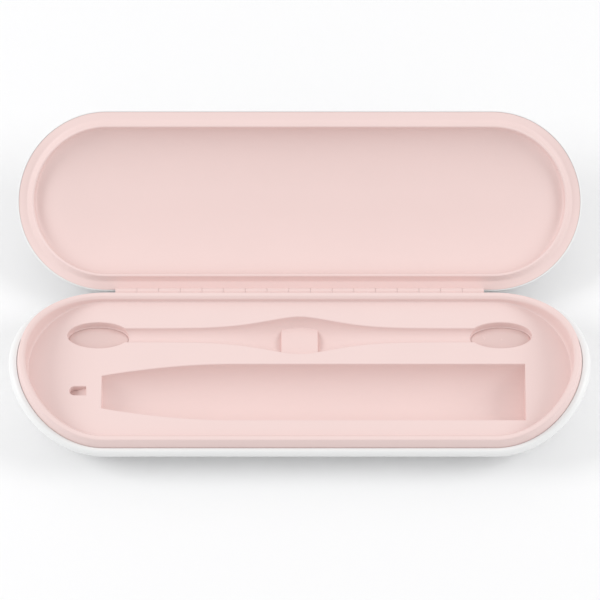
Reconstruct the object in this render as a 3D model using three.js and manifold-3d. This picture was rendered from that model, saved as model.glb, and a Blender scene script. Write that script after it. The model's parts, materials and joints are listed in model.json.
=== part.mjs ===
// Toothbrush sanitizer: a two-shell travel case with a moulded storage tray. Ultraviolet lamps
// under windows in the two head pits clean the brush heads while the lid is shut.
// Millimetres, +Z up, X along the case, +Y towards the hinge. The origin is the centre of the
// middle foot pad's underside. The case is drawn shut; the lid group then turns to its open stop.
import * as THREE from "three";
import { mergeVertices } from "three/addons/utils/BufferGeometryUtils.js";
import Module from "manifold-3d";

const wasm = await Module();
wasm.setup();

// ---- Driving dimensions ----
const GAP = 0.3; // between neighbours
const ARC_X = 80.2; // centres of the stadium's round ends
const END_RISE = 9.5; // the parting line rises this much towards the two tips
const ARC_STEPS = 12;

const FLOOR_Z = 2; // underside of the base shell, on top of the foot pads
const FOOT_R = 27.5; // radius of the flat underside
const MIDDLE_PAD_HALF = 39; // half length of the middle one of the three foot pads
const PAD_GAP = 2; // between foot pads
const HULL_R = 38.2; // widest radius of the base shell
const HULL_Z = 15.2; // height of the widest radius
const HULL_POWER = 1.5; // squareness of the hull's section
const END_STRETCH = 1.3; // extra length of the hull's bulge at each tip
const SEAM_Z = 17.8; // top edge of the base shell
const SHELL_IN_R = 36.3; // inner radius of both shells at the seam
const FLOOR_WALL = 2.4;
const FLOOR_TOP = FLOOR_Z + FLOOR_WALL;

const TRAY_Z = 19.45; // tray surface
const TRAY_WALL = 1.8;
const LIP_Z = 22.8; // top of the lip
const LIP_IN_R = 32.3;
const LIP_TOP_R = 35.1;
const LIP_FOOT_R = 36;

const LID_EDGE_Z = 22.9; // the shut lid rests on the lip, which shows as a band between the shells
const LID_R = 37.5;
const LID_SHOULDER_Z = 23.4;
const ROOF_Z = 39;
const ROOF_R = 14; // half width of the flat roof
const LAND_Z = LIP_Z + GAP; // liner face that rests on the lip
const RIB_TIP_Z = 21.3; // lower edge of the rib that drops inside the lip
const VAULT_Z = 36; // top of the lid's cavity
const VAULT_R = 4; // half width of the cavity's flat crown
const CAVITY_R = 30.4;
const LINER_WALL = 1;
const LAND_TOP = LAND_Z + LINER_WALL + GAP; // free height above the liner's outer flange
const LID_WALL = 1.3;

const HINGE_Y = 38.15;
const HINGE_Z = 17.5;
const OPEN_ANGLE = THREE.MathUtils.degToRad(150.5);
const KNUCKLE_R = 1.5;
const KNUCKLE_SWEEP_R = 1.85;
const PIN_R = 0.65;
const KNUCKLE_LENGTH = 9;
const KNUCKLES = 17;
const HINGE_END_X = (KNUCKLES * KNUCKLE_LENGTH) / 2;
const BASE_LEAF_Z = 14.6; // lower edge of the base's hinge leaf
const LID_LEAF_Z = 24.6; // upper edge of the lid's hinge leaf

const HANDLE_Y = -10.6;
const HANDLE_R = 13.2;
const HANDLE_END_X = 92.9;
const HANDLE_TIP_X = -81.4;
const HEAD_Y = 16.4;
const NECK_R = 3.2;
const HEAD_MIDDLE_R = 8.85;
const PIT = { x: 83.15, halfLength: 12.85, halfWidth: 6.1, depth: 3.7 };
const SADDLE = { halfLength: 7.6, depth: 5.6 };
const SHAFT_RELIEF = { x: -92.6, y: -10, r: 2.35, depth: 4.2, endX: -87.6, shallow: 2.4 };

const WINDOW_THICKNESS = 1.2;
const BOARD_Z = 5.6;
const BOARD_THICKNESS = 1.2;
const BOARD_TOP = BOARD_Z + BOARD_THICKNESS;
const USB = { width: 9, height: 3.2, length: 7.4, mouthY: 33.4 };
const LIGHT_X = 10;
const SENSOR_X = 18;
const SCREW_X = 103;
const SCREW_Y = 9;
const MAGNET_X = 40;
const MAGNET_LENGTH = 12;
const LAMP_BOARD_Z = 8.2;

// ---- Materials ----
const plastic = (color, roughness) => new THREE.MeshStandardMaterial({ color, roughness, metalness: 0 });
const metal = (color, roughness) => new THREE.MeshStandardMaterial({ color, roughness, metalness: 1 });
const WHITE = plastic(0xf3f3f1, 0.42);
const PINK = plastic(0xf3d6d1, 0.5);
const WINDOW = plastic(0xeecdc7, 0.15);
const RUBBER = plastic(0xd9d9d6, 0.8);
const BOARD = plastic(0x1f5b3a, 0.55);
const CHIP = plastic(0x202022, 0.5);
const CERAMIC = plastic(0xe9e5da, 0.4);
const FOIL = plastic(0xb9bcc0, 0.35);
const FOAM = plastic(0x3c3c3e, 0.95);
const CABLE = plastic(0xd8d8d8, 0.6);
const STEEL = metal(0xb8bbbf, 0.3);
const CLEAR = plastic(0xe8ecef, 0.1);

// ---- Solids ----
// A geometry with only merged positions, its faces turned outwards.
function bareGeometry(geometry) {
  const bare = geometry.clone();
  bare.deleteAttribute("normal");
  bare.deleteAttribute("uv");
  const merged = mergeVertices(bare, 1e-4);
  const at = (i) => new THREE.Vector3().fromBufferAttribute(merged.attributes.position, i);
  const index = Array.from(merged.index.array);
  let volume = 0;
  for (let i = 0; i < index.length; i += 3) {
    volume += at(index[i]).dot(at(index[i + 1]).cross(at(index[i + 2])));
  }
  merged.setIndex(volume < 0 ? index.reverse() : index);
  return merged;
}

function solid(geometry) {
  const bare = bareGeometry(geometry);
  return new wasm.Manifold(
    new wasm.Mesh({
      numProp: 3,
      vertProperties: bare.attributes.position.array,
      triVerts: new Uint32Array(bare.index.array),
    }),
  );
}

function geometryOf(manifold) {
  const mesh = manifold.getMesh();
  const geometry = new THREE.BufferGeometry();
  geometry.setAttribute("position", new THREE.BufferAttribute(mesh.vertProperties, 3));
  geometry.setIndex(new THREE.BufferAttribute(mesh.triVerts, 1));
  return geometry;
}

const join = (solids) => solids.reduce((all, one) => all.add(one));
const cut = (body, tools) => tools.reduce((left, tool) => left.subtract(tool), body);

// One ring round the case: a stadium of radius r at height z. lift is the share of the tips' rise, and
// stretch lengthens the round ends.
function stadiumRing({ r, z, lift = 0, stretch = 0 }) {
  const points = [];
  for (const side of [1, -1]) {
    for (let i = 0; i <= ARC_STEPS; i += 1) {
      const angle = -Math.PI / 2 + (Math.PI * i) / ARC_STEPS;
      const along = Math.cos(angle);
      const rise = lift * END_RISE * along * along;
      points.push([side * (ARC_X + (r + stretch) * along), side * r * Math.sin(angle), z + rise]);
    }
  }
  return points;
}

// Skin over a list of rings. A looped profile closes on itself; any other gets a flat cap at each end.
function ringBody(profile, looped = false) {
  const rings = profile.map(stadiumRing);
  const count = rings[0].length;
  const index = [];
  const bands = looped ? rings.length : rings.length - 1;
  for (let band = 0; band < bands; band += 1) {
    const low = band * count;
    const high = ((band + 1) % rings.length) * count;
    for (let i = 0; i < count; i += 1) {
      const next = (i + 1) % count;
      index.push(low + i, low + next, high + next, low + i, high + next, high + i);
    }
  }
  if (!looped) {
    const top = (rings.length - 1) * count;
    for (let i = 1; i < count - 1; i += 1) {
      index.push(0, i + 1, i, top, top + i, top + i + 1);
    }
  }
  const geometry = new THREE.BufferGeometry();
  geometry.setAttribute("position", new THREE.Float32BufferAttribute(rings.flat(2), 3));
  geometry.setIndex(index);
  return geometry;
}

// Points of a rounded quarter section from (endR, endZ) on the flat to (startR, startZ) on the wall.
function quarter(startR, startZ, endR, endZ, power, steps, weigh) {
  const points = [];
  for (let i = 0; i <= steps; i += 1) {
    const angle = (Math.PI / 2) * (i / steps);
    const r = endR + (startR - endR) * Math.cos(angle) ** power;
    const z = startZ + (endZ - startZ) * Math.sin(angle) ** power;
    points.push({ r: Math.max(r, endR), z, ...weigh((z - endZ) / (startZ - endZ)) });
  }
  return points;
}

const liftOnly = (share) => ({ lift: THREE.MathUtils.smoothstep(share, 0, 1) });
const liftAndStretch = (share) => ({ ...liftOnly(share), stretch: END_STRETCH * share });

function box(x0, x1, y0, y1, z0, z1) {
  const geometry = new THREE.BoxGeometry(x1 - x0, y1 - y0, z1 - z0);
  return geometry.translate((x0 + x1) / 2, (y0 + y1) / 2, (z0 + z1) / 2);
}

// A cylinder along X from x0 to x1.
function rodX(r, x0, x1, y, z, sides = 14) {
  const geometry = new THREE.CylinderGeometry(r, r, x1 - x0, sides);
  return geometry.rotateZ(-Math.PI / 2).translate((x0 + x1) / 2, y, z);
}

// A cylinder along Z from z0 to z1.
function rodZ(r, x, y, z0, z1, sides = 16) {
  const geometry = new THREE.CylinderGeometry(r, r, z1 - z0, sides);
  return geometry.rotateX(Math.PI / 2).translate(x, y, (z0 + z1) / 2);
}

// A body of revolution about the X axis through (y, z); outline is a list of [x, radius].
function turnedX(outline, y, z, sides) {
  const points = [
    new THREE.Vector2(0, outline[0][0]),
    ...outline.map(([x, r]) => new THREE.Vector2(r, x)),
    new THREE.Vector2(0, outline[outline.length - 1][0]),
  ];
  return new THREE.LatheGeometry(points, sides).rotateZ(-Math.PI / 2).translate(0, y, z);
}

// An upright prism with an oval plan.
function ovalPrism(x, y, halfLength, halfWidth, z0, z1) {
  return new THREE.CylinderGeometry(1, 1, z1 - z0, 24)
    .rotateX(Math.PI / 2)
    .scale(halfLength, halfWidth, 1)
    .translate(x, y, (z0 + z1) / 2);
}

// ---- Storage recesses ----
// Radius of a toothbrush handle along X, grown by extra: a taper at the shaft end, then a plain barrel.
function handleOutline(extra) {
  const taper = [];
  const steps = 8;
  for (let i = 0; i <= steps; i += 1) {
    const share = i / steps;
    const x = HANDLE_TIP_X - extra + share * 54;
    taper.push([x, 7.55 + (HANDLE_R - 7.55) * Math.sin((share * Math.PI) / 2) ** 0.9 + extra]);
  }
  return [...taper, [HANDLE_END_X + extra, HANDLE_R + extra]];
}

// Radius along X of two brush necks placed foot to foot, grown by extra.
function neckOutline(extra) {
  const outline = [];
  const steps = 11;
  const reach = 55;
  for (let i = -steps; i <= steps; i += 1) {
    const x = (i / steps) * reach;
    const swell = Math.exp(-((Math.abs(x) / 21) ** 1.7));
    outline.push([x, NECK_R + (HEAD_MIDDLE_R - NECK_R) * swell + extra]);
  }
  return [[-PIT.x + 6, NECK_R + extra], ...outline, [PIT.x - 6, NECK_R + extra]];
}

function recesses(extra, sides) {
  const floorZ = TRAY_Z - PIT.depth - extra;
  const top = TRAY_Z + 2;
  const necks = solid(turnedX(neckOutline(extra), HEAD_Y, TRAY_Z, sides));
  const saddleTop = TRAY_Z - SADDLE.depth;
  const saddleEnd = SADDLE.halfLength - extra;
  const saddle = solid(box(-saddleEnd, saddleEnd, HEAD_Y - 12, HEAD_Y + 12, 0, saddleTop - extra));
  const pits = [-1, 1].map((side) =>
    solid(ovalPrism(side * PIT.x, HEAD_Y, PIT.halfLength + extra, PIT.halfWidth + extra, floorZ, top)),
  );
  const reliefZ = TRAY_Z - SHAFT_RELIEF.depth - extra;
  const shallowZ = TRAY_Z - SHAFT_RELIEF.shallow - extra;
  const { x, y, r, endX } = SHAFT_RELIEF;
  const half = r + extra;
  return join([
    solid(turnedX(handleOutline(extra), HANDLE_Y, TRAY_Z, sides)),
    necks.subtract(saddle),
    ...pits,
    solid(rodZ(half, x, y, reliefZ, top)),
    solid(box(x, endX + extra, y - half, y + half, shallowZ, top)),
  ]);
}

// ---- Hinge ----
// The knuckles of one body: odd places belong to the lid, even places to the base.
function knuckleSpans(body) {
  const spans = [];
  for (let i = 0; i < KNUCKLES; i += 1) {
    const middle = (i - (KNUCKLES - 1) / 2) * KNUCKLE_LENGTH;
    if ((i % 2 === 1) === (body === "lid")) {
      spans.push([middle - KNUCKLE_LENGTH / 2 + GAP / 2, middle + KNUCKLE_LENGTH / 2 - GAP / 2]);
    }
  }
  return spans;
}

// A strip let into the rear edge of a shell, with that body's knuckles on it.
function hingeLeaf(body) {
  const other = body === "lid" ? "base" : "lid";
  const end = HINGE_END_X - GAP / 2;
  const inY = SHELL_IN_R + 0.05;
  const strip = {
    base: box(-end, end, inY, HULL_R - 0.3, BASE_LEAF_Z, SEAM_Z - 0.2),
    lid: box(-end, end, inY, LID_R - 0.2, SEAM_Z + GAP, LID_LEAF_Z),
  };
  const knuckles = knuckleSpans(body).map(([x0, x1]) =>
    solid(rodX(KNUCKLE_R, x0, x1, HINGE_Y, HINGE_Z)),
  );
  const webTop = SEAM_Z + GAP + 0.5;
  const webs = knuckleSpans("lid").map(([x0, x1]) =>
    solid(box(x0, x1, inY, HINGE_Y, HINGE_Z, webTop)),
  );
  const rooms = knuckleSpans(other).map(([x0, x1]) =>
    solid(rodX(KNUCKLE_SWEEP_R, x0 - GAP, x1 + GAP, HINGE_Y, HINGE_Z)),
  );
  const leaf = join([solid(strip[body]), ...knuckles, ...(body === "lid" ? webs : [])]);
  const boreEnd = HINGE_END_X + 2;
  const bore = solid(rodX(PIN_R + GAP, -boreEnd, boreEnd, HINGE_Y, HINGE_Z));
  return cut(leaf, [...rooms, bore]);
}

// The notch in a shell's rear edge that its hinge leaf and the knuckles need.
function leafNotch(z0, z1) {
  const end = HINGE_END_X + GAP;
  return solid(box(-end, end, SHELL_IN_R - 1, HINGE_Y + 5, z0, z1));
}

// ---- Base ----
const screwPlaces = [-SCREW_X, SCREW_X].flatMap((x) => [-SCREW_Y, SCREW_Y].map((y) => [x, y]));
const boardScrewPlaces = [
  [-50, 20],
  [17, 20],
];

function baseOuterShell() {
  const outer = quarter(HULL_R, HULL_Z, FOOT_R, FLOOR_Z, HULL_POWER, 7, liftAndStretch).reverse();
  const edgeR = SHELL_IN_R + 0.6;
  const shoulder = [1, 2, 3, 4].map((i) => {
    const angle = (i / 4) * (Math.PI / 2);
    return {
      r: edgeR + (HULL_R - edgeR) * Math.cos(angle),
      z: HULL_Z + (SEAM_Z - HULL_Z) * Math.sin(angle),
      lift: 1,
      stretch: END_STRETCH * Math.cos(angle),
    };
  });
  const innerZ = HULL_Z - 0.7;
  const inner = quarter(SHELL_IN_R, innerZ, FOOT_R - 1.5, FLOOR_TOP, HULL_POWER, 4, liftOnly);
  const edge = { r: SHELL_IN_R, z: SEAM_Z, lift: 1 };
  const bowl = solid(ringBody([...outer, ...shoulder, edge, ...inner]));
  const floorBosses = screwPlaces.map(([x, y]) =>
    solid(rodZ(4, x, y, FLOOR_Z + 0.5, FLOOR_TOP + 1.1)),
  );
  const boardPosts = boardScrewPlaces.map(([x, y]) =>
    solid(rodZ(2.4, x, y, FLOOR_Z + 1, BOARD_Z - GAP)),
  );
  const usbZ = BOARD_TOP + USB.height / 2;
  const usbX = USB.width / 2 + GAP;
  const usbHalf = USB.height / 2 + GAP;
  const usbHole = solid(box(-usbX, usbX, 28, 45, usbZ - usbHalf, usbZ + usbHalf));
  const lightHole = solid(rodZ(1.3, LIGHT_X, -usbZ, 28, 45, 12).rotateX(-Math.PI / 2));
  return cut(join([bowl, ...floorBosses, ...boardPosts]), [
    ...screwPlaces.map(([x, y]) => solid(rodZ(2.6, x, y, FLOOR_Z - 1, FLOOR_Z + 2.2, 12))),
    ...screwPlaces.map(([x, y]) => solid(rodZ(1.5, x, y, FLOOR_Z, 12, 12))),
    ...boardScrewPlaces.map(([x, y]) => solid(rodZ(1.2, x, y, FLOOR_Z + 1.2, 12, 10))),
    leafNotch(BASE_LEAF_Z - GAP, SEAM_Z + 1 + END_RISE),
    usbHole,
    lightHole,
  ]);
}

function storageTray() {
  const under = TRAY_Z - TRAY_WALL;
  const footZ = SEAM_Z - 2.3; // lower edge of the skirt that locates in the base shell
  const lip = solid(
    ringBody(
      [
        { r: LIP_IN_R, z: under },
        { r: LIP_IN_R, z: LIP_Z - 1.1, lift: 1 },
        { r: LIP_IN_R + 0.4, z: LIP_Z - 0.4, lift: 1 },
        { r: LIP_IN_R + 1.1, z: LIP_Z, lift: 1 },
        { r: LIP_TOP_R - 0.3, z: LIP_Z, lift: 1 },
        { r: LIP_TOP_R, z: LIP_Z - 0.3, lift: 1 },
        { r: LIP_FOOT_R, z: SEAM_Z - GAP, lift: 1 },
        { r: LIP_FOOT_R, z: footZ, lift: 1 },
        { r: LIP_FOOT_R - TRAY_WALL, z: footZ, lift: 1 },
        { r: LIP_IN_R + TRAY_WALL, z: under },
      ],
      true,
    ),
  );
  const plate = solid(
    ringBody([
      { r: LIP_IN_R + 0.9, z: under },
      { r: LIP_IN_R + 0.9, z: TRAY_Z },
    ]),
  );
  const below = solid(box(-150, 150, -60, 60, 0, TRAY_Z - 0.5));
  const tubs = recesses(1.5, 16).intersect(below);
  const bosses = screwPlaces.map(([x, y]) =>
    solid(rodZ(2.8, x, y, FLOOR_TOP + 1.4, under + 0.5)),
  );
  const magnetHalf = MAGNET_LENGTH / 2;
  const magnetBoxes = [-MAGNET_X, MAGNET_X].map((x) =>
    solid(box(x - magnetHalf - 1.5, x + magnetHalf + 1.5, -35.4, -29.6, 14.2, under + 0.5)),
  );
  const magnetPockets = [-MAGNET_X, MAGNET_X].map((x) =>
    solid(box(x - magnetHalf - GAP, x + magnetHalf + GAP, -34.6, -30.4, 13, 18)),
  );
  const windowHoles = [-1, 1].flatMap((side) => {
    const x = side * PIT.x;
    const floorZ = TRAY_Z - PIT.depth;
    return [
      solid(ovalPrism(x, HEAD_Y, 10.4, 4.4, floorZ - 3, floorZ + 1)),
      solid(ovalPrism(x, HEAD_Y, 11.6, 5.3, floorZ - WINDOW_THICKNESS, floorZ + 1)),
    ];
  });
  return cut(join([lip, plate, tubs, ...bosses, ...magnetBoxes]), [
    recesses(0, 24),
    ...windowHoles,
    ...magnetPockets,
    ...screwPlaces.map(([x, y]) => solid(rodZ(1.5, x, y, 0, 15, 12))),
  ]);
}

// The length from x0 to x1 of the rubber foot, which is cut across into three pads.
function footPad(x0, x1) {
  const foot = ringBody([
    { r: FOOT_R - 2, z: 0 },
    { r: FOOT_R - 1.2, z: 0.8 },
    { r: FOOT_R - 1.2, z: FLOOR_Z - GAP },
  ]);
  return solid(foot).intersect(solid(box(x0, x1, -FOOT_R, FOOT_R, -1, FLOOR_Z)));
}

const uvWindow = (side) => {
  const floorZ = TRAY_Z - PIT.depth;
  return ovalPrism(side * PIT.x, HEAD_Y, 11.3, 5, floorZ - WINDOW_THICKNESS + GAP, floorZ);
};

// ---- Lamps and electronics ----
const lampBoard = (side) => {
  const x = side * PIT.x;
  return box(x - 9, x + 9, HEAD_Y - 4.5, HEAD_Y + 4.5, LAMP_BOARD_Z, LAMP_BOARD_Z + 1);
};
const lamp = (side) => {
  const x = side * PIT.x;
  const z = LAMP_BOARD_Z + 1;
  const half = 1.9;
  const body = solid(box(x - half, x + half, HEAD_Y - half, HEAD_Y + half, z + GAP, z + 1.5));
  return body.add(solid(rodZ(1.4, x, HEAD_Y, z + 1, z + 2, 14)));
};

function mainBoard() {
  const plate = solid(box(-58, 22, 10, 27.5, BOARD_Z, BOARD_TOP));
  return cut(
    plate,
    boardScrewPlaces.map(([x, y]) => solid(rodZ(1.3, x, y, 0, 12, 10))),
  );
}

function chip(x, y, width, depth, height) {
  const z = BOARD_TOP + GAP;
  const x0 = x - width / 2;
  const y0 = y - depth / 2;
  const y1 = y + depth / 2;
  const body = solid(box(x0, x0 + width, y0, y1, z + 0.1, z + height));
  const legs = [];
  for (let i = 0; i < 4; i += 1) {
    const legX = x0 + (width * (i + 0.5)) / 4;
    legs.push(solid(box(legX - 0.25, legX + 0.25, y0 - 0.9, y1 + 0.9, z, z + 0.3)));
  }
  return join([body, ...legs]);
}

function usbSocket() {
  const z0 = BOARD_TOP + GAP;
  const z1 = BOARD_TOP + USB.height;
  const y0 = USB.mouthY - USB.length;
  const half = USB.width / 2;
  const can = solid(box(-half, half, y0, USB.mouthY, z0, z1));
  const mouth = solid(box(0.5 - half, half - 0.5, y0 + 1.4, 50, z0 + 0.45, z1 - 0.45));
  const tongue = solid(box(-3.2, 3.2, y0 + 1, USB.mouthY - 0.8, z0 + 1.1, z1 - 1.1));
  return can.subtract(mouth).add(tongue);
}

function lightPipe() {
  const z = BOARD_TOP + USB.height / 2;
  return solid(rodZ(1, LIGHT_X, -z, 27.2, 34.4, 12).rotateX(-Math.PI / 2)).add(
    solid(box(LIGHT_X - 1.4, LIGHT_X + 1.4, 26.4, 28, z - 1.2, z + 1.2)),
  );
}

function hallSensor() {
  const x = SENSOR_X;
  const body = solid(box(x - 2.1, x + 2.1, 25, 26.6, 13, 16.2));
  const legs = [x - 1.3, x, x + 1.3].map((legX) =>
    solid(box(legX - 0.22, legX + 0.22, 25.6, 26, BOARD_TOP + GAP, 13.5)),
  );
  return join([body, ...legs]);
}

// A round lead along a smooth curve through points.
function lead(points, radius) {
  const path = new THREE.CatmullRomCurve3(points.map((p) => new THREE.Vector3(...p)));
  const section = new THREE.Shape();
  section.absarc(0, 0, radius, 0, Math.PI * 2);
  return new THREE.ExtrudeGeometry(section, {
    steps: 12,
    curveSegments: 4,
    bevelEnabled: false,
    extrudePath: path,
  });
}

// The lead from the nearer end of the main board to a lamp board.
function lampLead(side) {
  const [start, bend] = side < 0 ? [-58.6, -62] : [22.6, 27];
  const path = [
    [start, 22, 6.4],
    [bend, 24.8, 6.6],
    [side * 66, 24.8, 6.8],
    [side * 72.4, 18.5, 8.7],
  ];
  return lead(path, 0.6);
}

function batteryLead() {
  const path = [
    [22.6, 14, 6.4],
    [24.5, 13.6, 6.2],
    [27, 14.6, 6.6],
    [30.6, 15, 7.2],
  ];
  return lead(path, 0.7);
}

// An upright body of revolution; profile is a list of [radius, height].
function turnedZ(profile, x, y, z) {
  const points = profile.map(([r, height]) => new THREE.Vector2(r, height));
  return new THREE.LatheGeometry(points, 12).rotateX(Math.PI / 2).translate(x, y, z);
}

// A self-tapping screw from below, through the base's floor into a tray boss.
function trayScrew([x, y]) {
  const profile = [
    [0, 0],
    [1.54, 0],
    [2.2, 0.5],
    [2.2, 1.3],
    [1.15, 1.3],
    [1.15, 9],
    [0.3, 10],
    [0, 10],
  ];
  return turnedZ(profile, x, y, FLOOR_Z + 0.4);
}

// A small screw from above that holds the main board to its post.
function boardScrew([x, y]) {
  const profile = [
    [0, -3],
    [0.9, -3],
    [0.9, GAP],
    [1.9, GAP],
    [1.9, 1.2],
    [1.2, 1.6],
    [0, 1.6],
  ];
  return turnedZ(profile, x, y, BOARD_TOP);
}

// ---- Lid, drawn shut ----
function lidOuterShell() {
  const outer = quarter(LID_R, LID_SHOULDER_Z, ROOF_R, ROOF_Z, 1.12, 8, liftOnly).reverse();
  const roofIn = ROOF_Z - LID_WALL;
  const inner = quarter(SHELL_IN_R, LID_SHOULDER_Z + 1.9, ROOF_R - 2, roofIn, 1.12, 5, liftOnly);
  const edge = [
    { r: LID_R, z: LID_EDGE_Z, lift: 1 },
    { r: SHELL_IN_R, z: LID_EDGE_Z, lift: 1 },
  ];
  const dome = solid(ringBody([...outer, ...edge, ...inner]));
  return dome.subtract(leafNotch(HINGE_Z, LID_LEAF_Z + GAP));
}

function lidInnerLiner() {
  const flangeTop = LAND_Z + LINER_WALL;
  const crown = VAULT_Z + LINER_WALL;
  const cavity = quarter(CAVITY_R, LAND_Z + 0.2, VAULT_R, VAULT_Z, 1, 8, liftOnly);
  const back = quarter(CAVITY_R + LINER_WALL, flangeTop, VAULT_R, crown, 1, 8, liftOnly);
  return ringBody([
    ...back.reverse(),
    { r: LIP_FOOT_R, z: flangeTop, lift: 1 },
    { r: LIP_FOOT_R, z: LAND_Z, lift: 1 },
    { r: LIP_IN_R + 1.2, z: LAND_Z, lift: 1 },
    { r: LIP_IN_R - 0.4, z: RIB_TIP_Z + 0.5, lift: 1 },
    { r: LIP_IN_R - 0.8, z: RIB_TIP_Z, lift: 1 },
    { r: CAVITY_R + 0.4, z: RIB_TIP_Z, lift: 1 },
    { r: CAVITY_R, z: RIB_TIP_Z + 0.5, lift: 1 },
    ...cavity,
  ]);
}

function magnet(side, y0, y1, z0, z1) {
  const middle = side * MAGNET_X;
  return box(middle - MAGNET_LENGTH / 2, middle + MAGNET_LENGTH / 2, y0, y1, z0, z1);
}

const lidMagnet = (side) => magnet(side, -35, -32.6, LAND_TOP, 27);
const baseMagnet = (side) => magnet(side, -34.3, -30.7, 14.2, 17.7);
const sensorMagnet = () => rodZ(1.3, SENSOR_X, 33.9, LAND_TOP, 26.8, 16);

// ---- Assembly ----
const root = new THREE.Group();
const base = new THREE.Group();
const lid = new THREE.Group();
const lidPieces = new THREE.Group();
lid.add(lidPieces);
root.add(base, lid);

function place(group, name, shape, material) {
  const geometry = shape.isBufferGeometry ? bareGeometry(shape) : geometryOf(shape);
  const mesh = new THREE.Mesh(geometry, material);
  mesh.name = name;
  group.add(mesh);
}

place(base, "base_outer_shell", baseOuterShell(), WHITE);
place(base, "storage_tray", storageTray(), PINK);
place(base, "base_foot_pad_left", footPad(-130, -MIDDLE_PAD_HALF - PAD_GAP), RUBBER);
place(base, "base_foot_pad_middle", footPad(-MIDDLE_PAD_HALF, MIDDLE_PAD_HALF), RUBBER);
place(base, "base_foot_pad_right", footPad(MIDDLE_PAD_HALF + PAD_GAP, 130), RUBBER);
place(base, "main_circuit_board", mainBoard(), BOARD);
place(base, "control_chip", chip(-28, 17, 9, 7, 1.3), CHIP);
place(base, "charge_chip", chip(-8, 21, 5, 4, 1.1), CHIP);
place(base, "usb_c_socket", usbSocket(), STEEL);
place(base, "charge_light_pipe", lightPipe(), CLEAR);
place(base, "hall_sensor", hallSensor(), CHIP);
place(base, "battery_cell", box(31, 69, 6.6, 21.4, 5.8, 11.2), FOIL);
place(base, "battery_foam_pad", box(32, 68, 7.1, 20.9, FLOOR_TOP + GAP, 5.5), FOAM);
place(base, "battery_lead", batteryLead(), CABLE);
for (const side of [-1, 1]) {
  const hand = side < 0 ? "left" : "right";
  place(base, `uv_window_${hand}`, uvWindow(side), WINDOW);
  place(base, `uv_lamp_${hand}`, lamp(side), CERAMIC);
  place(base, `lamp_board_${hand}`, lampBoard(side), BOARD);
  place(base, `lamp_lead_${hand}`, lampLead(side), CABLE);
  place(base, `base_magnet_${hand}`, baseMagnet(side), STEEL);
  place(lidPieces, `lid_magnet_${hand}`, lidMagnet(side), STEEL);
}
screwPlaces.forEach((at, i) => {
  place(base, `tray_screw_${i + 1}`, trayScrew(at), STEEL);
});
boardScrewPlaces.forEach((at, i) => {
  place(base, `board_screw_${i + 1}`, boardScrew(at), STEEL);
});
place(base, "hinge_pin", rodX(PIN_R, -HINGE_END_X, HINGE_END_X, HINGE_Y, HINGE_Z), STEEL);
place(base, "base_hinge_leaf", hingeLeaf("base"), PINK);
place(lidPieces, "lid_hinge_leaf", hingeLeaf("lid"), PINK);
place(lidPieces, "lid_outer_shell", lidOuterShell(), WHITE);
place(lidPieces, "lid_inner_liner", lidInnerLiner(), PINK);
place(lidPieces, "lid_sensor_magnet", sensorMagnet(), STEEL);

lidPieces.position.set(0, -HINGE_Y, -HINGE_Z);
lid.position.set(0, HINGE_Y, HINGE_Z);
lid.rotation.x = -OPEN_ANGLE;

export default root;
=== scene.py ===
import json
import math

import bpy
import numpy as np
from mathutils import Matrix, Vector


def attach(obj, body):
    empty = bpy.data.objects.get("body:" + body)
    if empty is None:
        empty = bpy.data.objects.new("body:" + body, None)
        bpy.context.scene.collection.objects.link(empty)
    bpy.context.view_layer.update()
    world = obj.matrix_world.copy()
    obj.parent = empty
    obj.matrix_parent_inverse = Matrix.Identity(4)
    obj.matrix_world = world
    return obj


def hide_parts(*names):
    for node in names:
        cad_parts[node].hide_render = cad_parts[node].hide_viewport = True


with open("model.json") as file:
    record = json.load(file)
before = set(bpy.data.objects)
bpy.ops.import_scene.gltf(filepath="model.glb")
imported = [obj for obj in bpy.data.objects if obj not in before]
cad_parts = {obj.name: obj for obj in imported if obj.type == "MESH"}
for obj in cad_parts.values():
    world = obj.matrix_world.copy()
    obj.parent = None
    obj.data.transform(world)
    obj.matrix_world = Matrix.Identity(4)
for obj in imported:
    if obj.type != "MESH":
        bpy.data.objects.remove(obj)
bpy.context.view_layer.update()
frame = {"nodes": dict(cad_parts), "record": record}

# ---- Driving dimensions, millimetres ----
MM = 0.001
ARC_X = 80.2  # centres of the stadium's round ends
END_RISE = 9.5  # the parting line rises this much towards the tips
ARC_STEPS = 56

FLOOR_Z = 2
FOOT_R = 27.5
MIDDLE_PAD_HALF, PAD_GAP = 39, 2
HULL_R = 38.2
HULL_Z = 15.2
HULL_POWER = 1.5
END_STRETCH = 1.3
SEAM_Z = 17.8
SHELL_IN_R = 36.3
FLOOR_WALL = 2.4

TRAY_Z = 19.45
TRAY_WALL = 1.8
LIP_Z = 22.8
LIP_IN_R = 32.3
LIP_TOP_R = 35.1
LIP_FOOT_R = 36
LIP_CHAMFER = 1.1  # clears the lid's rib as it swings down inside the lip

LID_EDGE_Z = 22.9  # the shut lid rests on the lip
LID_R = 37.5
LID_SHOULDER_Z = 23.4
LID_WALL = 1.3
ROOF_Z = 39
ROOF_R = 14
LAND_Z = 23.1
RIB_TIP_Z = 21.3
VAULT_Z = 36
VAULT_R = 4
CAVITY_R = 30.4
LINER_R = 36.98  # the liner's flange reaches under the lid's thin outer edge
SEAM_GAP = 0.05
TRAY_SEAM_GAP = 0.14  # shows as a fine dark line between the lip and the base shell
LINER_WALL = 1

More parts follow.
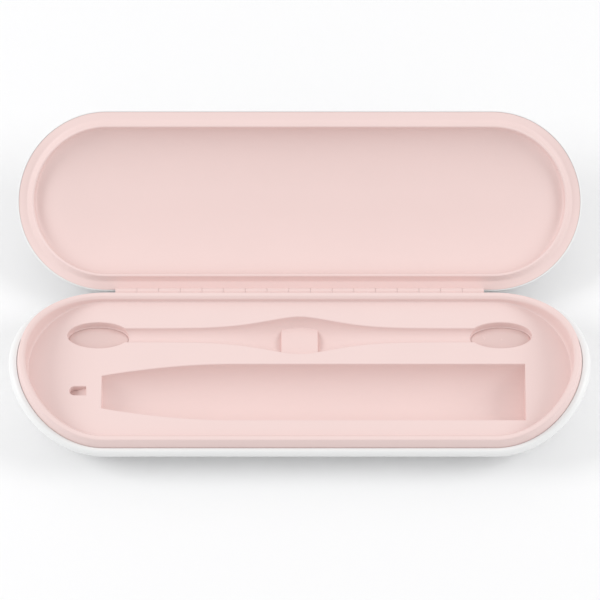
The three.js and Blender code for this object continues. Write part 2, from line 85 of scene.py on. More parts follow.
HINGE_Y = 38.15
HINGE_Z = 17.5
OPEN_DEGREES = 150.5
KNUCKLE_R = 1.5
WEB_SWEEP_R = 1.85  # the lid's knuckles and the webs that carry them
KNUCKLE_SWEEP_R = 1.58  # the base's bare knuckles
PIN_R = 0.65
NOTCH_GAP = 0.12  # round a hinge leaf in its notch
KNUCKLE_LENGTH = 9
KNUCKLES = 17
KNUCKLE_GAP = 0.08
HINGE_END_X = 76.35
BASE_LEAF_Z = 14.6
LID_LEAF_Z = 24.6
GAP = 0.3
LID_LEAF_LOW_Z = SEAM_Z + GAP
SMOOTH_DEGREES = 15.5

HANDLE_Y = -10.6
HANDLE_R = 13.2
HANDLE_TIP_R = 7.55
HANDLE_END_X = 92.9
HANDLE_TIP_X = -81.4
HANDLE_TAPER = 54
HEAD_Y = 16.4
NECK_R = 3.2
HEAD_MIDDLE_R = 8.85
PIT_X, PIT_HALF_LENGTH, PIT_HALF_WIDTH, PIT_DEPTH = 83.15, 12.85, 6.1, 3.7
PIT_FOOT = 0.35  # radius at the foot of a pit's wall
WINDOW_INSET = -0.5  # how far the window's edge lies inside the pit's wall
SADDLE_HALF_LENGTH, SADDLE_DEPTH = 7.6, 5.6
RELIEF_X, RELIEF_Y, RELIEF_R, RELIEF_DEPTH = -92.6, -10, 2.05, 4.0
RELIEF_END_X, RELIEF_SHALLOW = -87.9, 1.8


# ---- Mesh helpers ----
def new_object(name, vertices, faces, smooth=True):
    mesh = bpy.data.meshes.new(name)
    mesh.from_pydata([tuple(v) for v in vertices], [], faces)
    mesh.validate()
    if smooth:
        mesh.shade_smooth()
    made = bpy.data.objects.new(name, mesh)
    bpy.context.scene.collection.objects.link(made)
    return made


def stadium_ring(r, z, lift=0.0, stretch=0.0):
    """One ring round the case: a stadium of radius r at height z."""
    angle = np.linspace(-math.pi / 2, math.pi / 2, ARC_STEPS + 1)
    along, across = np.cos(angle), np.sin(angle)
    height = z + lift * END_RISE * along**2
    right = np.column_stack((ARC_X + (r + stretch) * along, r * across, height))
    return np.vstack((right, right * (-1, -1, 1)))


def loft(name, profile, looped=False):
    """Skin over rings; a looped profile closes on itself, any other gets a flat cap at each end."""
    rings = [stadium_ring(*point) for point in profile]
    count = len(rings[0])
    around = np.arange(count)
    faces = []
    for band in range(len(rings) if looped else len(rings) - 1):
        low = band * count
        high = (band + 1) % len(rings) * count
        for i, j in zip(around, (around + 1) % count):
            faces.append((int(low + i), int(low + j), int(high + j), int(high + i)))
    if not looped:
        last = (len(rings) - 1) * count
        faces.append(tuple(range(count - 1, -1, -1)))
        faces.append(tuple(range(last, last + count)))
    return new_object(name, np.vstack(rings), faces)


def soften(profile, looped=False, steps=5):
    """Rounds the corners of a profile. A point is (r, z, lift, stretch, fillet)."""
    rounded = []
    count = len(profile)
    for i, point in enumerate(profile):
        here = np.array(point[:4], float)
        fillet = point[4] if len(point) > 4 else 0
        at_end = not looped and i in (0, count - 1)
        if not fillet or at_end:
            rounded.append(tuple(here))
            continue
        before = np.array(profile[i - 1][:4], float)
        after = np.array(profile[(i + 1) % count][:4], float)
        start, end = [
            here + (other - here) * min(0.49, fillet / max(np.hypot(*(other - here)[:2]), 1e-6))
            for other in (before, after)
        ]
        for step in range(steps + 1):
            t = step / steps
            rounded.append(tuple(start * (1 - t) ** 2 + here * 2 * t * (1 - t) + end * t**2))
    return rounded


def smoothstep(share):
    share = min(1.0, max(0.0, share))
    return share * share * (3 - 2 * share)


def quarter(start, end, power, steps, stretch=0.0):
    """A rounded quarter section from start on the wall to end on the flat; both are (r, z)."""
    points = []
    for i in range(steps + 1):
        angle = math.pi / 2 * i / steps
        r = end[0] + (start[0] - end[0]) * max(0.0, math.cos(angle)) ** power
        z = start[1] + (end[1] - start[1]) * math.sin(angle) ** power
        share = (z - end[1]) / (start[1] - end[1])
        points.append((r, z, smoothstep(share), stretch * share))
    return points


def turned_x(name, outline, y, z, sides=64):
    """A body of revolution about the X axis; outline is a list of (x, radius)."""
    rings = []
    for x, r in outline:
        angle = np.linspace(0, 2 * math.pi, sides, endpoint=False)
        rings.append(np.column_stack((np.full(sides, x), y + r * np.cos(angle), z + r * np.sin(angle))))
    faces = []
    for band in range(len(rings) - 1):
        for i in range(sides):
            j = (i + 1) % sides
            low, high = band * sides, (band + 1) * sides
            faces.append((low + i, low + j, high + j, high + i))
    last = (len(rings) - 1) * sides
    faces.append(tuple(range(sides - 1, -1, -1)))
    faces.append(tuple(range(last, last + sides)))
    return face_out(new_object(name, np.vstack(rings), faces))


def face_out(made):
    """Turns the faces outwards if the mesh is inside out."""
    mesh = made.data
    mesh.calc_loop_triangles()
    points = np.empty(len(mesh.vertices) * 3)
    mesh.vertices.foreach_get("co", points)
    points = points.reshape(-1, 3)
    index = np.empty(len(mesh.loop_triangles) * 3, int)
    mesh.loop_triangles.foreach_get("vertices", index)
    a, b, c = points[index.reshape(-1, 3).T]
    if np.einsum("ij,ij->", a, np.cross(b, c)) < 0:
        mesh.flip_normals()
    return made


def turned_z(name, outline, x, y, sides=48):
    """A body of revolution about an upright axis; outline is a list of (radius, z)."""
    made = turned_x(name, [(z, r) for r, z in outline], 0, 0, sides)
    made.data.transform(Matrix.Translation((x, y, 0)) @ Matrix.Rotation(-math.pi / 2, 4, "Y"))
    return face_out(made)


def box(name, low, high):
    corners = [(x, y, z) for x in (low[0], high[0]) for y in (low[1], high[1]) for z in (low[2], high[2])]
    faces = [(0, 1, 3, 2), (4, 6, 7, 5), (0, 4, 5, 1), (2, 3, 7, 6), (0, 2, 6, 4), (1, 5, 7, 3)]
    return face_out(new_object(name, corners, faces, smooth=False))


def combine(body, tools, operation):
    """Joins or cuts body with each tool, leaving only body."""
    for tool in tools:
        change = body.modifiers.new("change", "BOOLEAN")
        change.solver = "MANIFOLD"
        change.operation = operation
        change.object = tool
        graph = bpy.context.evaluated_depsgraph_get()
        mesh = bpy.data.meshes.new_from_object(body.evaluated_get(graph))
        body.modifiers.clear()
        body.data = mesh
        bpy.data.objects.remove(tool)
    return body


def soft_shade(made, degrees=32):
    """Smooth shading that keeps edges sharper than the given angle."""
    made.data.shade_smooth()
    made.data.set_sharp_from_angle(angle=math.radians(degrees))
    return made


def round_edges(made, width, degrees=35, segments=3):
    """Rounds the edges of a small hard piece, in the piece's own units."""
    bevel = made.modifiers.new("edges", "BEVEL")
    bevel.width = width
    bevel.segments = segments
    bevel.limit_method = "ANGLE"
    bevel.angle_limit = math.radians(degrees)
    graph = bpy.context.evaluated_depsgraph_get()
    mesh = bpy.data.meshes.new_from_object(made.evaluated_get(graph))
    made.modifiers.clear()
    made.data = mesh
    return made


def finish_piece(made, body, material, replaced):
    """Scales a piece to metres, opens it with the lid, and gives it its body and material."""
    turn = Matrix.Identity(4)
    if body == "lid":
        hinge = Matrix.Translation((0, HINGE_Y, HINGE_Z))
        turn = hinge @ Matrix.Rotation(math.radians(-OPEN_DEGREES), 4, "X") @ hinge.inverted()
    made.data.transform(Matrix.Scale(MM, 4) @ turn)
    made.data.materials.clear()
    made.data.materials.append(material)
    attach(made, body)
    if replaced:
        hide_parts(*replaced)
    return made


# ---- Storage tray ----
EDGE = 0.42  # radius round the mouth of every recess
EDGE_ANGLES = np.radians(np.arange(0, 79, 13))
TUB_WALL = 1.5


def handle_radius(x):
    share = np.clip((x - HANDLE_TIP_X) / HANDLE_TAPER, 0, 1)
    return HANDLE_TIP_R + (HANDLE_R - HANDLE_TIP_R) * np.sin(share * math.pi / 2) ** 0.9


def neck_radius(x):
    """Two brush necks placed foot to foot."""
    return NECK_R + (HEAD_MIDDLE_R - NECK_R) * np.exp(-((np.abs(x) / 21) ** 1.7))


def trough_section(x, radius, y, clip=None):
    """Half-round section with a rounded mouth; clip keeps only what is above that depth."""
    mouth = [(radius + EDGE * (1 - math.cos(t)), -EDGE * (1 - math.sin(t))) for t in EDGE_ANGLES[::-1]]
    first = math.asin(EDGE / radius)
    arc = [(radius * math.cos(t), -radius * math.sin(t)) for t in np.linspace(first, math.pi - first, 60)]
    side = [(mouth[0][0], 1), *mouth]
    points = side + arc[1:-1] + [(-across, depth) for across, depth in side[::-1]]
    lowest = -radius if clip is None else -clip
    return [(x, y + across, TRAY_Z + max(depth, lowest)) for across, depth in points]


def skin(name, sections):
    """A closed body through sections with the same number of points."""
    count = len(sections[0])
    faces = [
        (low + i, low + (i + 1) % count, low + count + (i + 1) % count, low + count + i)
        for low in range(0, (len(sections) - 1) * count, count)
        for i in range(count)
    ]
    last = (len(sections) - 1) * count
    faces.append(tuple(range(count - 1, -1, -1)))
    faces.append(tuple(range(last, last + count)))
    return face_out(new_object(name, [point for section in sections for point in section], faces))


def trough(name, places, radius_at, y):
    """Cutter for a half-round recess along X whose mouth is rounded at the sides and the ends."""
    sections = [trough_section(x, radius_at(x), y) for x in places]
    for end, outward in ((0, -1), (-1, 1)):
        x = places[end]
        rounded = [
            trough_section(
                x + outward * EDGE * (1 - math.cos(t)), radius_at(x), y, EDGE * (1 - math.sin(t))
            )
            for t in EDGE_ANGLES
        ]
        rounded[0] = trough_section(x + outward * 0.001, radius_at(x), y, EDGE)
        sections = rounded[::-1] + sections if outward < 0 else sections + rounded
    return skin(name, sections)


def tub(name, places, radius_at, y):
    """The wall below a half-round recess."""
    grown = [places[0] - TUB_WALL, *places, places[-1] + TUB_WALL]
    sections = []
    for x in grown:
        radius = radius_at(x) + TUB_WALL
        first = math.asin(0.5 / radius)
        angles = np.linspace(first, math.pi - first, 40)
        sections.append([(x, y + radius * math.cos(t), TRAY_Z - radius * math.sin(t)) for t in angles])
    return skin(name, sections)


def oval_body(name, side, levels):
    """An upright body with an oval plan; levels are (growth of the oval, z)."""
    angle = np.linspace(0, 2 * math.pi, 96, endpoint=False)
    sections = []
    for growth, z in levels:
        x = side * PIT_X + (PIT_HALF_LENGTH + growth) * np.cos(angle)
        y = HEAD_Y + (PIT_HALF_WIDTH + growth) * np.sin(angle)
        sections.append([(a, b, z) for a, b in zip(x, y)])
    return skin(name, sections)


def mouth_levels():
    """Growth and height up the rounded mouth of an upright recess."""
    rounded = [(EDGE * (1 - math.cos(t)), TRAY_Z - EDGE * (1 - math.sin(t))) for t in EDGE_ANGLES]
    return [*rounded, (rounded[-1][0], TRAY_Z + 1)]


def pit(side):
    floor = TRAY_Z - PIT_DEPTH
    foot = [
        (-PIT_FOOT * (1 - math.cos(t)), floor + PIT_FOOT * (1 - math.sin(t)))
        for t in EDGE_ANGLES[::-1]
    ]
    return oval_body("pit", side, [*foot, *mouth_levels()])


def shaft_relief():
    """Cutter for the pocket of the drive shaft: a D in plan, with a floor that rises towards the handle."""
    angle = np.linspace(math.pi / 2, 3 * math.pi / 2, 40)
    sections = []

    def section(growth, z_at):
        radius = RELIEF_R + growth
        round_end = [(RELIEF_X + radius * math.cos(t), RELIEF_Y + radius * math.sin(t)) for t in angle]
        straight = [(RELIEF_END_X + growth, RELIEF_Y - radius), (RELIEF_END_X + growth, RELIEF_Y + radius)]
        return [(x, y, z_at(x)) for x, y in round_end + straight]

    def floor(x):
        share = min(1, max(0, (x - RELIEF_X) / (RELIEF_END_X - RELIEF_X)))
        return TRAY_Z - RELIEF_DEPTH + (RELIEF_DEPTH - RELIEF_SHALLOW) * share

    sections = [section(0, floor), *[section(growth, lambda x, z=z: z) for growth, z in mouth_levels()]]
    return skin("shaft_pocket", sections)


def tray_body():
    under = TRAY_Z - TRAY_WALL
    rim_foot = SEAM_Z - 2.3
    profile = [
        (LIP_FOOT_R - TRAY_WALL, under),
        (LIP_FOOT_R - TRAY_WALL, rim_foot, 1, 0, 0.3),
        (LIP_FOOT_R, rim_foot, 1, 0, 0.3),
        (LIP_FOOT_R, SEAM_Z - GAP, 1, 0, 0.4),
        (LIP_TOP_R, LIP_Z - 0.2, 1, 0, 0.6),
        (LIP_TOP_R - 0.6, LIP_Z, 1, 0, 0.3),
        (LIP_IN_R + LIP_CHAMFER, LIP_Z, 1, 0, 0.5),
        (LIP_IN_R, LIP_Z - LIP_CHAMFER, 1, 0, 0.5),
        (LIP_IN_R, TRAY_Z, 0, 0, 0.9),
        (LIP_IN_R - 2, TRAY_Z),
    ]
    padded = [(*point, *[0] * (5 - len(point))) for point in profile]
    return face_out(loft("tray_moulding", soften(padded, steps=8)))


def storage_tray():
    handle_places = [*np.linspace(HANDLE_TIP_X, HANDLE_TIP_X + HANDLE_TAPER, 48), HANDLE_END_X]
    neck_reach = PIT_X - 6
    neck_places = list(np.linspace(-neck_reach, neck_reach, 150))
    tray = tray_body()
    pit_tub = [(TUB_WALL, TRAY_Z - PIT_DEPTH - TUB_WALL), (TUB_WALL, TRAY_Z - 0.5)]
    tubs = [
        tub("handle_tub", handle_places, handle_radius, HANDLE_Y),
        tub("neck_tub", neck_places, neck_radius, HEAD_Y),
        *[oval_body("pit_tub", side, pit_tub) for side in (-1, 1)],
        box(
            "pocket_tub",
            (
                RELIEF_X - RELIEF_R - TUB_WALL,
                RELIEF_Y - RELIEF_R - TUB_WALL,
                TRAY_Z - RELIEF_DEPTH - TUB_WALL,
            ),
            (RELIEF_END_X + TUB_WALL, RELIEF_Y + RELIEF_R + TUB_WALL, TRAY_Z - 0.5),
        ),
    ]
    combine(tray, tubs, "UNION")
    necks = trough("necks", neck_places, neck_radius, HEAD_Y)
    saddle = box(
        "saddle",
        (-SADDLE_HALF_LENGTH, HEAD_Y - 14, TRAY_Z - 20),
        (SADDLE_HALF_LENGTH, HEAD_Y + 14, TRAY_Z - SADDLE_DEPTH),
    )
    combine(necks, [round_edges(saddle, EDGE, segments=5)], "DIFFERENCE")
    hole_growth = WINDOW_INSET + 0.06
    window_hole = [(hole_growth, TRAY_Z - PIT_DEPTH - 4), (hole_growth, TRAY_Z - 1)]
    window_holes = [oval_body("window_hole", side, window_hole) for side in (-1, 1)]
    hollows = [
        trough("handle", handle_places, handle_radius, HANDLE_Y),
        necks,
        pit(-1),
        pit(1),
        shaft_relief(),
        *window_holes,
    ]
    combine(tray, hollows, "DIFFERENCE")
    return soft_shade(tray, SMOOTH_DEGREES)


def lamp_window(side):
    """A slightly domed oval window with rounded edges, flush with the floor of its pit."""
    top = TRAY_Z - PIT_DEPTH
    levels = [
        (WINDOW_INSET, top - 1.1),
        (WINDOW_INSET, top - 0.12),
        (WINDOW_INSET - 0.12, top - 0.02),
        (WINDOW_INSET - 0.8, top + 0.03),
        (WINDOW_INSET - 2.2, top + 0.08),
        (WINDOW_INSET - 4.5, top + 0.1),
    ]
    return soft_shade(oval_body("lamp_window", side, levels), 40)


# ---- Hinge ----
def knuckle_spans(body):
    """X spans of one body's knuckles: odd places belong to the lid, even places to the base."""
    spans = []
    for i in range(KNUCKLES):
        middle = (i - (KNUCKLES - 1) / 2) * KNUCKLE_LENGTH
        low, high = middle - KNUCKLE_LENGTH / 2, middle + KNUCKLE_LENGTH / 2
        if (i % 2 == 1) == (body == "lid"):
            spans.append((low + KNUCKLE_GAP / 2, high - KNUCKLE_GAP / 2))
    return spans


def knuckle(span):
    x0, x1 = span
    edge = 0.12
    edge_r = KNUCKLE_R - edge
    outline = [(x0, edge_r), (x0 + edge, KNUCKLE_R), (x1 - edge, KNUCKLE_R), (x1, edge_r)]
    return turned_x("knuckle", outline, HINGE_Y, HINGE_Z, 40)


def hinge_leaf(body):
    """A strip let into the rear edge of a shell, with that body's knuckles on it."""
    other = "base" if body == "lid" else "lid"
    in_y = SHELL_IN_R + SEAM_GAP
    strips = {
        "base": (BASE_LEAF_Z, SEAM_Z - 0.2, HULL_R - 0.3),
        "lid": (LID_LEAF_LOW_Z, LID_LEAF_Z, LID_R - 0.2),
    }
    low_z, high_z, out_y = strips[body]
    leaf = box(body + "_leaf", (-HINGE_END_X, in_y, low_z), (HINGE_END_X, out_y, high_z))
    round_edges(leaf, 0.2)
    parts = [knuckle(span) for span in knuckle_spans(body)]
    if body == "lid":
        top = LID_LEAF_LOW_Z + 0.5
        parts += [box("web", (x0, in_y, HINGE_Z), (x1, HINGE_Y, top)) for x0, x1 in knuckle_spans("lid")]
    combine(leaf, parts, "UNION")
    room_r = WEB_SWEEP_R if body == "base" else KNUCKLE_SWEEP_R
    rooms = [
        turned_x("room", [(x0 - KNUCKLE_GAP, room_r), (x1 + KNUCKLE_GAP, room_r)], HINGE_Y, HINGE_Z, 40)
        for x0, x1 in knuckle_spans(other)
    ]
    bore_end, bore_r = HINGE_END_X + 2, PIN_R + SEAM_GAP
    bore = turned_x("bore", [(-bore_end, bore_r), (bore_end, bore_r)], HINGE_Y, HINGE_Z, 24)
    combine(leaf, [*rooms, bore], "DIFFERENCE")
    return soft_shade(leaf)


def leaf_notch(low_z, high_z, in_y=SHELL_IN_R - 1):
    """Cutter for the notch in a shell's rear edge that takes its hinge leaf."""
    end = HINGE_END_X + NOTCH_GAP
    return box("notch", (-end, in_y, low_z), (end, HINGE_Y + 5, high_z))


def hinge_pin():
    """The pin, tapered at both ends."""
    end = HINGE_END_X
    outline = [(-end - 0.1, 0.3), (-end, PIN_R), (end, PIN_R), (end + 0.1, 0.3)]
    return soft_shade(turned_x("pin", outline, HINGE_Y, HINGE_Z, 32), 50)


# ---- Shells ----
BOARD_TOP = 6.8
USB_WIDTH, USB_HEIGHT = 9, 3.2
SOCKET_Z = BOARD_TOP + USB_HEIGHT / 2
LIGHT_X = 10
SCREW_PLACES = [(x, y) for x in (-103, 103) for y in (-9, 9)]


def base_shell():
    outer = quarter((HULL_R, HULL_Z), (FOOT_R, FLOOR_Z), HULL_POWER, 36, END_STRETCH)[::-1]
    edge_r = SHELL_IN_R + 0.6
    shoulder = []
    for i in range(1, 9):
        angle = math.pi / 2 * i / 8
        r = edge_r + (HULL_R - edge_r) * math.cos(angle)
        z = HULL_Z + (SEAM_Z - HULL_Z) * math.sin(angle)
        shoulder.append((r, z, 1, END_STRETCH * math.cos(angle)))
    inner = quarter((SHELL_IN_R, HULL_Z - 0.7), (FOOT_R - 1.5, FLOOR_Z + FLOOR_WALL), HULL_POWER, 14)
    edge = (LIP_FOOT_R + TRAY_SEAM_GAP, SEAM_Z, 1, 0)
    below_edge = (edge[0], SEAM_Z - 1.6, 1, 0, 0.1)
    rim = soften([shoulder[-2], (*shoulder[-1], 0.3), (*edge, 0.15), below_edge, inner[0]])
    shell = loft("base_shell", [*outer, *shoulder[:-2], *rim, *inner[1:]])
    face_out(shell)
    z = SOCKET_Z
    half_x, half_z = USB_WIDTH / 2 + 0.2, USB_HEIGHT / 2 + 0.2
    socket = box("socket_hole", (-half_x, 28, z - half_z), (half_x, 45, z + half_z))
    round_edges(socket, 1.2, segments=6)
    light = turned_x("light_hole", [(28, 1.15), (45, 1.15)], 0, 0, 32)
    light.data.transform(Matrix.Translation((LIGHT_X, 0, z)) @ Matrix.Rotation(math.pi / 2, 4, "Z"))
    face_out(light)
    screw_hole = [(2.6, FLOOR_Z - 1), (2.6, FLOOR_Z + 1.6)]
    holes = [turned_z("screw_hole", screw_hole, x, y, 40) for x, y in SCREW_PLACES]
    combine(shell, [leaf_notch(BASE_LEAF_Z - NOTCH_GAP, SEAM_Z + 5), socket, light, *holes], "DIFFERENCE")
    return soft_shade(shell)


def lid_shell():
    outer = quarter((LID_R, LID_SHOULDER_Z), (ROOF_R, ROOF_Z), 1.12, 40)[::-1]
    inner = quarter((SHELL_IN_R, LID_SHOULDER_Z + 1.9), (ROOF_R - 2, ROOF_Z - LID_WALL), 1.12, 16)
    skirt_in = LINER_R + SEAM_GAP
    edge = soften(
        [
            outer[-1],
            (LID_R, LID_EDGE_Z, 1, 0, 0.25),
            (skirt_in, LID_EDGE_Z, 1, 0, 0.12),
            (skirt_in, LID_SHOULDER_Z + 0.8, 1, 0, 0.1),
            inner[0],
        ]
    )
    shell = face_out(loft("lid_shell", [*outer[:-1], *edge, *inner[1:]]))
    combine(shell, [leaf_notch(HINGE_Z, LID_LEAF_Z + NOTCH_GAP)], "DIFFERENCE")
    return soft_shade(shell)


def lid_liner():
    wall_z = LAND_Z + 0.2
    cavity = quarter((CAVITY_R, wall_z), (VAULT_R, VAULT_Z), 1, 48)
    back = quarter((CAVITY_R + LINER_WALL, LAND_Z + LINER_WALL), (VAULT_R, VAULT_Z + LINER_WALL), 1, 14)
    section = soften(
        [
            back[0],
            (LINER_R, LAND_Z + LINER_WALL, 1, 0, 0.1),
            (LINER_R, LAND_Z, 1, 0, 0.15),
            (LIP_IN_R + 1.2, LAND_Z, 1, 0, 0.6),
            (LIP_IN_R - 0.4, RIB_TIP_Z + 0.5, 1, 0, 0.4),
            (LIP_IN_R - 0.8, RIB_TIP_Z, 1, 0, 0.3),
            (CAVITY_R + 0.4, RIB_TIP_Z, 1, 0, 0.3),
            (CAVITY_R, RIB_TIP_Z + 0.5, 1, 0, 0.4),
            cavity[0],
        ]
    )
    liner = face_out(loft("lid_lining", [*back[::-1][:-1], *section, *cavity[1:]]))
    notch = leaf_notch(HINGE_Z, LID_LEAF_Z + NOTCH_GAP, SHELL_IN_R)
    return soft_shade(combine(liner, [notch], "DIFFERENCE"), 32)


def foot_pad(x0, x1):
    """One of three rubber pads cut across from the foot, with a rounded lower edge."""
    outline = [
        (FOOT_R - 2, 0),
        (FOOT_R - 1.6, 0.15),
        (FOOT_R - 1.3, 0.5),
        (FOOT_R - 1.2, 0.9),
        (FOOT_R - 1.2, FLOOR_Z - 0.05),
    ]
    pad = face_out(loft("foot_pad", outline))
    combine(pad, [box("pad_length", (x0, -FOOT_R, -1), (x1, FOOT_R, FLOOR_Z))], "INTERSECT")
    return soft_shade(pad, 40)


# ---- Materials ----
def new_material(name, colour, roughness, **settings):
    material = bpy.data.materials.new(name)
    material.use_nodes = True
    shader = material.node_tree.nodes["Principled BSDF"]
    shader.inputs["Base Color"].default_value = (*colour, 1)
    shader.inputs["Roughness"].default_value = roughness
    for socket, value in settings.items():
        shader.inputs[socket].default_value = value
    return material, material.node_tree, shader


def noise(tree, per_metre, detail=3.0, roughness=0.5):
    """Noise in the piece's own space, so many features to the metre."""
    place = tree.nodes.new("ShaderNodeTexCoord")
    texture = tree.nodes.new("ShaderNodeTexNoise")
    texture.inputs["Scale"].default_value = per_metre
    texture.inputs["Detail"].default_value = detail
    texture.inputs["Roughness"].default_value = roughness
    tree.links.new(place.outputs["Object"], texture.inputs["Vector"])
    return texture.outputs["Fac"]


def ramp(tree, factor, low, high):
    """Maps a 0-1 factor to the span from low to high."""
    node = tree.nodes.new("ShaderNodeMapRange")
    node.inputs["To Min"].default_value = low
    node.inputs["To Max"].default_value = high
    tree.links.new(factor, node.inputs["Value"])
    return node.outputs["Result"]


def shade_between(tree, factor, first, second):
    node = tree.nodes.new("ShaderNodeMix")
    node.data_type = "RGBA"
    node.inputs["A"].default_value = (*first, 1)
    node.inputs["B"].default_value = (*second, 1)
    tree.links.new(factor, node.inputs["Factor"])
    return node.outputs["Result"]


def add_bump(tree, shader, height, strength, distance):
    node = tree.nodes.new("ShaderNodeBump")
    node.inputs["Strength"].default_value = strength
    node.inputs["Distance"].default_value = distance
    tree.links.new(height, node.inputs["Height"])
    tree.links.new(node.outputs["Normal"], shader.inputs["Normal"])


def moulded_plastic(name, colour, deeper, roughness, **settings):
    """Satin moulded plastic: faint flow mottling, uneven gloss and a fine spark texture."""
    material, tree, shader = new_material(name, colour, roughness, **settings)
    mottle = noise(tree, 45, 2)
    tree.links.new(shade_between(tree, mottle, colour, deeper), shader.inputs["Base Color"])
    gloss = ramp(tree, noise(tree, 260, 4, 0.6), roughness - 0.05, roughness + 0.06)
    tree.links.new(gloss, shader.inputs["Roughness"])
    add_bump(tree, shader, noise(tree, 5200, 2, 0.6), 0.10, 0.00008)
    return material


def metal(name, colour, roughness):
    material, tree, shader = new_material(name, colour, roughness, Metallic=1.0)
    gloss = ramp(tree, noise(tree, 900, 4, 0.6), roughness - 0.08, roughness + 0.12)
    tree.links.new(gloss, shader.inputs["Roughness"])
    add_bump(tree, shader, noise(tree, 3000, 3), 0.08, 0.00005)
    return material


def coated(name, colour, deeper, roughness, per_metre, depth):
    """Any dull coated surface: two close colours and a grain."""
    material, tree, shader = new_material(name, colour, roughness)
    grain = noise(tree, per_metre, 4, 0.6)
    tree.links.new(shade_between(tree, grain, colour, deeper), shader.inputs["Base Color"])
    add_bump(tree, shader, grain, 0.4, depth)
    return material


MATERIALS = {
    "shell_white": moulded_plastic("white_satin", (0.87, 0.875, 0.87), (0.85, 0.855, 0.855), 0.36),
    "liner_pink": moulded_plastic("pink_satin", (0.84, 0.655, 0.63), (0.82, 0.64, 0.615), 0.46),
    # The window's pink is darker than the liner's pink: painted shade of the pit floor.
    "lamp_window": moulded_plastic("window_pink_painted_shade", (0.745, 0.56, 0.532), (0.725, 0.545, 0.52), 0.25),
    "foot_rubber": coated("pale_rubber", (0.62, 0.62, 0.61), (0.55, 0.55, 0.54), 0.8, 2400, 0.0001),
    "circuit_board": coated("board_green", (0.02, 0.13, 0.06), (0.03, 0.19, 0.09), 0.45, 700, 0.00005),
    "chip_black": coated("chip_black", (0.02, 0.02, 0.022), (0.035, 0.035, 0.035), 0.5, 3000, 0.00004),
    "lamp_ceramic": coated("lamp_ceramic", (0.78, 0.76, 0.70), (0.72, 0.70, 0.64), 0.35, 2600, 0.00003),
    "lead_sheath": coated("lead_sheath", (0.70, 0.70, 0.70), (0.62, 0.62, 0.62), 0.5, 1800, 0.00003),
    "cell_wrap": coated("cell_wrap", (0.50, 0.52, 0.55), (0.42, 0.44, 0.48), 0.3, 400, 0.00008),
    "foam_grey": coated("foam_grey", (0.05, 0.05, 0.055), (0.02, 0.02, 0.02), 0.95, 2200, 0.0003),
    "light_pipe": moulded_plastic("light_pipe", (0.80, 0.83, 0.86), (0.76, 0.80, 0.84), 0.12),
    "magnet_nickel": metal("magnet_nickel", (0.62, 0.60, 0.57), 0.24),
    "steel": metal("screw_steel", (0.60, 0.60, 0.61), 0.3),
}


# ---- Assembly ----
def place(made, body, slot, *replaced):
    return finish_piece(made, body, MATERIALS[slot], replaced)


place(base_shell(), "base", "shell_white", "base_outer_shell")
place(storage_tray(), "base", "liner_pink", "storage_tray")
pad_start = MIDDLE_PAD_HALF + PAD_GAP
PADS = {
    "left": (-130, -pad_start),
    "middle": (-MIDDLE_PAD_HALF, MIDDLE_PAD_HALF),
    "right": (pad_start, 130),
}
for hand, (x0, x1) in PADS.items():
    place(foot_pad(x0, x1), "base", "foot_rubber", "base_foot_pad_" + hand)
for side, hand in ((-1, "left"), (1, "right")):
    place(lamp_window(side), "base", "lamp_window", "uv_window_" + hand)
place(hinge_leaf("base"), "base", "liner_pink", "base_hinge_leaf")
place(hinge_leaf("lid"), "lid", "liner_pink", "lid_hinge_leaf")
place(hinge_pin(), "base", "steel", "hinge_pin")
place(lid_shell(), "lid", "shell_white", "lid_outer_shell")
place(lid_liner(), "lid", "liner_pink", "lid_inner_liner")

NODE_SLOTS = {part["node"]: part["material_slot"] for part in frame["record"]["subparts"]}
for name, node in frame["nodes"].items():
    node.data.materials.clear()
    node.data.materials.append(MATERIALS[NODE_SLOTS[name]])


# ---- Stage, light and camera, metres ----
FLOOR_HALF = 3
FLOOR_COLOUR, FLOOR_DEEPER = (0.90, 0.90, 0.905), (0.895, 0.895, 0.90)


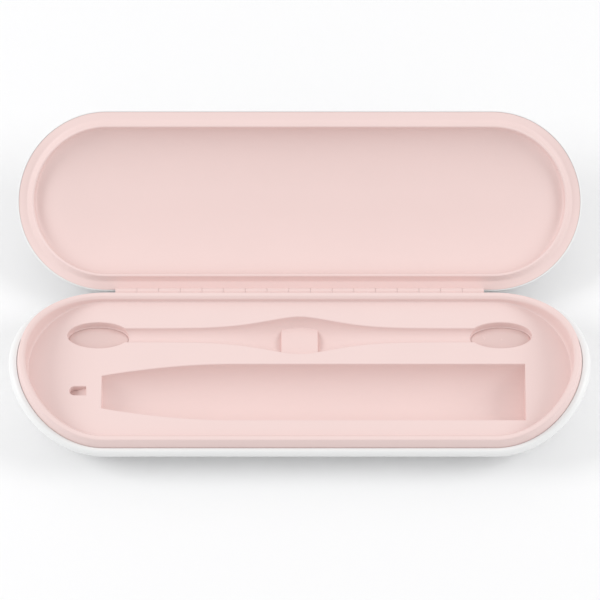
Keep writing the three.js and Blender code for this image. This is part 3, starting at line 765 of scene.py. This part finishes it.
def floor_plane():
    mesh = bpy.data.meshes.new("floor")
    corners = [(x * FLOOR_HALF, y * FLOOR_HALF, 0) for x, y in ((-1, -1), (1, -1), (1, 1), (-1, 1))]
    mesh.from_pydata(corners, [], [(0, 1, 2, 3)])
    made = bpy.data.objects.new("floor", mesh)
    bpy.context.scene.collection.objects.link(made)
    material, tree, shader = new_material("floor_white", FLOOR_COLOUR, 0.6)
    tone = shade_between(tree, noise(tree, 3, 2), FLOOR_COLOUR, FLOOR_DEEPER)
    tree.links.new(tone, shader.inputs["Base Color"])
    made.data.materials.append(material)


def area_light(name, place_at, power):
    """A round soft light aimed at the middle of the case."""
    data = bpy.data.lights.new(name, "AREA")
    data.shape = "DISK"
    data.size = LIGHT_SIZE
    data.energy = power
    made = bpy.data.objects.new(name, data)
    made.location = place_at
    made.rotation_euler = (LIGHT_TARGET - Vector(place_at)).to_track_quat("-Z", "Y").to_euler()
    bpy.context.scene.collection.objects.link(made)


def world_light(strength):
    world = bpy.data.worlds.new("studio")
    world.use_nodes = True
    background = world.node_tree.nodes["Background"]
    background.inputs["Color"].default_value = (1, 1, 1, 1)
    background.inputs["Strength"].default_value = strength
    bpy.context.scene.world = world


LIGHT_SIZE = 0.8
LIGHT_TARGET = Vector((0, 0.02, 0))
CAMERA_ELEVATION = math.radians(59.5)
CAMERA_DISTANCE = 2.8
CAMERA_TARGET = Vector((0.00017, 0.0332, 0.0195))
VIEW_WIDTH = 0.2487

floor_plane()
world_light(0.74)
area_light("left", (-1.3, 0, 0.9), 8.2)
area_light("right", (1.3, 0, 0.9), 7.1)
area_light("back", (0, 0.9, 1.1), 0.8)

camera_data = bpy.data.cameras.new("camera")
camera_data.sensor_width = 36
camera_data.lens = camera_data.sensor_width * CAMERA_DISTANCE / VIEW_WIDTH
camera_data.clip_end = 20
camera = bpy.data.objects.new("camera", camera_data)
toward_camera = Vector((0, -math.cos(CAMERA_ELEVATION), math.sin(CAMERA_ELEVATION)))
camera.location = CAMERA_TARGET + toward_camera * CAMERA_DISTANCE
camera.rotation_euler = (-toward_camera).to_track_quat("-Z", "Y").to_euler()
bpy.context.scene.collection.objects.link(camera)
bpy.context.scene.camera = camera
bpy.context.scene.view_settings.view_transform = "Standard"
